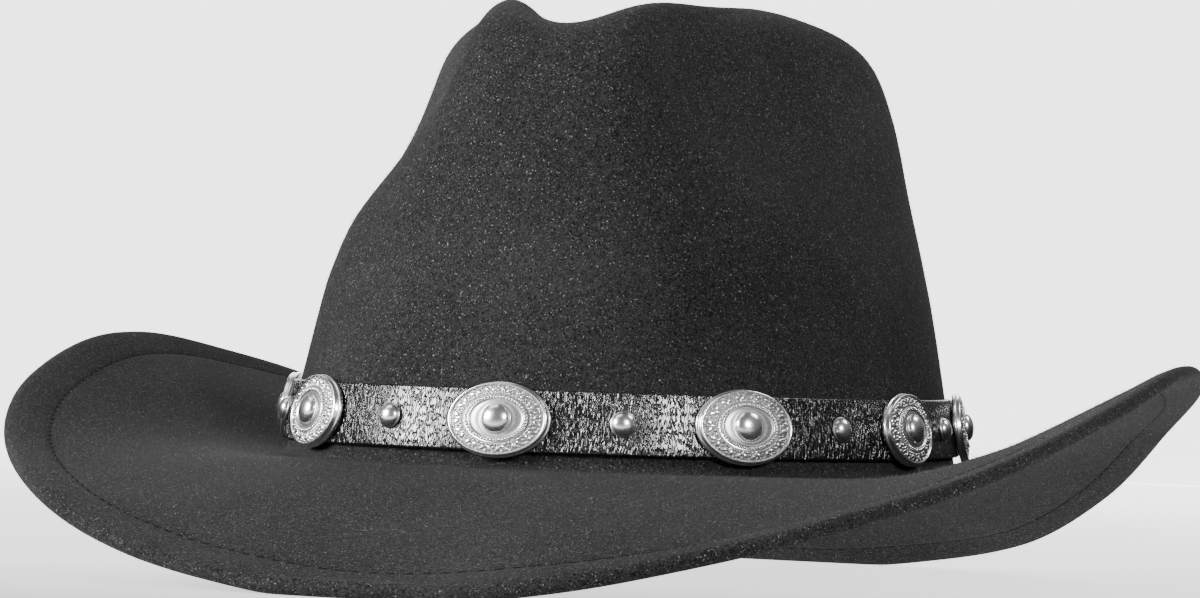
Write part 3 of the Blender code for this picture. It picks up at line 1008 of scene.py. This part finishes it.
def beadTree(material):
    tree, given = nodeGroup("conchoBeads", {"Count": 1, "Size": 0.0})
    geometry = given["Geometry"]
    path = evenPath(geometry, given["Count"])
    values = {"Radius": given["Size"] * 0.5, "Subdivisions": 2}
    bead = path.node("GeometryNodeMeshIcoSphere", {}, values)
    values = {"Points": path, "Instance": bead}
    endGroup(tree, path.node("GeometryNodeInstanceOnPoints", {}, values), material)
    return tree


def joined(name, objects):
    with bpy.context.temp_override(
        active_object=objects[0], selected_editable_objects=objects, object=objects[0]
    ):
        bpy.ops.object.join()
    objects[0].name = name
    return objects[0]


def bandPlace(angle):
    # the frame of a piece that lies on the band's face at that angle
    height = felt["breakRadius"] + band["width"] / 2
    out = 2 * band["gap"] + band["thickness"]
    here, normal = bandFace(np.array([angle]), height, band["lean"] / 2, np.array([out]))
    normal = Vector(normal[0])
    across = Vector((0, 0, 1)).cross(normal).normalized()
    turn = Matrix((across, normal.cross(across), normal)).transposed().to_4x4()
    return Matrix.Translation(Vector(here[0] + crownFoot)) @ turn


# round-headed rivets half-way between the plates
rivet = {
    "diameter": 0.0061,
    "height": 0.0024,
    "flange": 0.0004,  # height of the thin disc that the dome stands on
    "domeShare": 0.93,  # the dome's width, as a share of the disc's
    "domeSink": 0.00005,  # how far the dome reaches into the disc
    "hollow": 0.5,  # tarnish of the disc
    "sides": 40,
}


def rivetTree(material):
    sizes = {"Diameter": 0.0, "Height": 0.0, "Flange": 0.0, "Dome Share": 0.0, "Dome Sink": 0.0}
    sizes |= {"Hollow": 0.0, "Sides": 3}
    tree, given = nodeGroup("rivet", sizes)
    geometry = given["Geometry"]
    radius, flange = given["Diameter"] * 0.5, given["Flange"]
    values = {"Vertices": given["Sides"], "Radius": radius, "Depth": flange}
    disc = geometry.node("GeometryNodeMeshCylinder", {}, values)
    lift = geometry.node("ShaderNodeCombineXYZ", {}, {"Z": flange * 0.5})
    values = {"Geometry": disc, "Translation": lift}
    disc = geometry.node("GeometryNodeTransform", {}, values)
    settings = {"data_type": "FLOAT", "domain": "POINT"}
    values = {"Geometry": disc, "Name": "hollow", "Value": given["Hollow"]}
    disc = geometry.node("GeometryNodeStoreNamedAttribute", settings, values)
    values = {"Segments": given["Sides"], "Rings": 24, "Radius": 1.0}
    dome = geometry.node("GeometryNodeMeshUVSphere", {}, values)
    x, y, z = geometry.node("GeometryNodeInputPosition").parts()
    wide = radius * given["Dome Share"]
    level = z.node("ShaderNodeMath", {"operation": "MAXIMUM"}, {0: z, 1: 0.0})
    values = {"X": x * wide, "Y": y * wide}
    values["Z"] = level * (given["Height"] - flange) + (flange - given["Dome Sink"])
    place = geometry.node("ShaderNodeCombineXYZ", {}, values)
    values = {"Geometry": dome, "Position": place}
    dome = geometry.node("GeometryNodeSetPosition", {}, values)
    head = tree.nodes.new("GeometryNodeJoinGeometry")
    for part in (disc, dome):
        tree.links.new(part.out, head.inputs[0])
    values = {"Vector": readVector(geometry, "upright")}
    turn = geometry.node("FunctionNodeAlignRotationToVector", {"axis": "Z"}, values)
    values = {"Points": geometry, "Instance": Wire(tree, head.outputs[0]), "Rotation": turn}
    endGroup(tree, geometry.node("GeometryNodeInstanceOnPoints", {}, values), material)
    return tree


def makeRivets(material):
    tree = rivetTree(material)
    sizes = {
        "Diameter": rivet["diameter"],
        "Height": rivet["height"],
        "Flange": rivet["flange"],
        "Dome Share": rivet["domeShare"],
        "Dome Sink": rivet["domeSink"],
        "Hollow": rivet["hollow"],
        "Sides": rivet["sides"],
    }
    facets = evenAngles(concho["count"] * 2, halfLength, halfWidth, felt["headPower"])
    made = []
    for number in range(concho["count"]):
        place = bandPlace(facets[number * 2 + 1])
        base = edgeRing("rivetPlace", [place.translation], [place.col[2][:3]], False)
        made.append(grow(f"rivet{number + 1}", base, tree, sizes))
        bpy.data.objects.remove(base)
    return made


# floor, wall, lights and camera
studio = {
    "floorSize": 8.0,
    "wallWidth": 2.6,  # just wider than the camera's view
    "backRadius": 1.2,
    "wallLift": 0.002,  # the wall's foot lies this far above the floor
    "paper": (0.25, 0.25, 0.25, 1),
    "glow": 3.2,  # of the wall, and of the floor where it reaches the wall
    "nearGlow": 0.54,  # the floor's share of that round the hat
    "frontGlow": 0.12,  # the same in front of the hat
    "frontFrom": -0.35,  # places along the camera's view, between which the glow changes
    "glowFrom": 0.0,
    "glowTo": 1.8,
    "worldLight": 0.13,
    "aim": (0, 0, 0.06),  # the place that the softboxes face
    # softboxes: degrees round from the front, degrees up, distance, size, power
    "softboxes": {
        "key": (-50, 19, 1.6, 0.60, 72.0),
        "fill": (45, 20, 1.6, 0.30, 22.0),
        "edge": (125, 48, 1.6, 0.50, 10.0),
        "top": (-75, 65, 1.7, 1.00, 6.0),
    },
}
camera = {
    "place": (0.2954, -0.9525, 0.0391),
    "forward": (-0.3029, 0.9526, 0.0321),
    "roll": math.radians(2.25),
    "lens": 116.37,
    "sensor": 36.0,
    "nearest": 0.01,
}


def paperMaterial(name, forward, near):
    # pale glowing paper, whose glow falls to a share of its strength near the hat
    constants = {"Base Color": studio["paper"], "Roughness": 0.9}
    constants["Emission Strength"] = studio["glow"]
    material, wire, shader = newMaterial(name, constants)
    place = wire.node("ShaderNodeTexCoord", output="Object")
    values = {0: place, 1: tuple(forward)}
    run = wire.node("ShaderNodeVectorMath", {"operation": "DOT_PRODUCT"}, values, "Value")
    share = run.ramp(studio["frontFrom"], studio["glowFrom"], studio["frontGlow"], near)
    share = share + run.ramp(studio["glowFrom"], studio["glowTo"], 0, 1 - near)
    colour = share.between((0, 0, 0, 1), (1, 1, 1, 1))
    wire.feed(shader.inputs["Emission Color"], colour)
    return material


def makeStage():
    # a wide floor, and behind the hat a sheet of the same paper that curves up from it
    forward = Vector(camera["forward"])
    forward.z = 0
    forward.normalize()
    side = forward.cross(Vector((0, 0, 1)))
    half, radius = studio["floorSize"] / 2, studio["backRadius"]
    turns = np.linspace(0, math.pi / 2, 24)
    foot, lift = half - radius, studio["wallLift"]
    curve = [(foot + radius * math.sin(t), radius * (1 - math.cos(t)) + lift) for t in turns]
    sheets = {
        "floor": ([(-half, 0.0), (half, 0.0)], half, studio["nearGlow"]),
        "wall": (curve + [(half, half)], studio["wallWidth"] / 2, 1.0),
    }
    for name, (line, width, near) in sheets.items():
        points = [
            forward * run + side * way * width + Vector((0, 0, rise))
            for run, rise in line
            for way in (-1, 1)
        ]
        faces = [(2 * i, 2 * i + 1, 2 * i + 3, 2 * i + 2) for i in range(len(line) - 1)]
        material = paperMaterial(name + "Paper", forward, near)
        newMesh(name, points, faces, material)


def makeLights():
    world = bpy.data.worlds.new("studio")
    world.use_nodes = True
    background = world.node_tree.nodes["Background"]
    background.inputs["Color"].default_value = (1, 1, 1, 1)
    background.inputs["Strength"].default_value = studio["worldLight"]
    bpy.context.scene.world = world
    hat = Vector(studio["aim"])
    for name, (round_, up, distance, size, power) in studio["softboxes"].items():
        a, e = math.radians(round_), math.radians(up)
        way = Vector((math.sin(a) * math.cos(e), -math.cos(a) * math.cos(e), math.sin(e)))
        data = bpy.data.lights.new(name, "AREA")
        data.shape, data.size, data.energy = "SQUARE", size, power
        made = placed(name, data)
        made.location = hat + way * distance
        made.rotation_euler = (-way).to_track_quat("-Z", "Y").to_euler()


def makeCamera():
    forward = Vector(camera["forward"]).normalized()
    right = forward.cross(Vector((0, 0, 1))).normalized()
    up = right.cross(forward)
    roll = camera["roll"]
    right, up = (
        right * math.cos(roll) + up * math.sin(roll),
        up * math.cos(roll) - right * math.sin(roll),
    )
    data = bpy.data.cameras.new("camera")
    data.lens, data.sensor_width, data.sensor_fit = camera["lens"], camera["sensor"], "HORIZONTAL"
    data.clip_start = camera["nearest"]
    made = placed("camera", data)
    made.matrix_world = (
        Matrix.Translation(camera["place"])
        @ Matrix((right, up, -forward)).transposed().to_4x4()
    )
    bpy.context.scene.camera = made


def fasten(piece, slot, *nodes):
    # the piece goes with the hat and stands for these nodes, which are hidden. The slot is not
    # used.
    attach(piece, "root")
    if nodes:
        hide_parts(*nodes)


body, seams = makeFelt(feltMaterial())
print("felt body:", len(body.data.polygons), "faces")
fibrePiece = makeFibres(body, fibreMaterial())
print("fibres:", len(fibrePiece.data.polygons), "faces")
stitchPieces = makeStitches(seams, threadMaterial())
print("stitches:", [len(p.data.polygons) for p in stitchPieces], "faces")
bandPiece = makeBand(leatherMaterial())
print("band:", len(bandPiece.data.polygons), "faces")
silver = silverMaterial()
conchos = makeConchos(silver)
print("conchos:", len(conchos[0].data.polygons), "faces each")
rivets = makeRivets(silver)
print("rivets:", len(rivets[0].data.polygons), "faces each")

fasten(body, "felt", "felt_body")
fasten(fibrePiece, "felt")
for piece in stitchPieces:
    fasten(piece, "felt")
fasten(bandPiece, "leather", "hat_band")
for number, (plate, head) in enumerate(zip(conchos, rivets), 1):
    fasten(plate, "silver", f"concho_{number}")
    fasten(head, "silver", f"rivet_{number}")

makeStage()
makeLights()
makeCamera()
print("stage, lights and camera made")
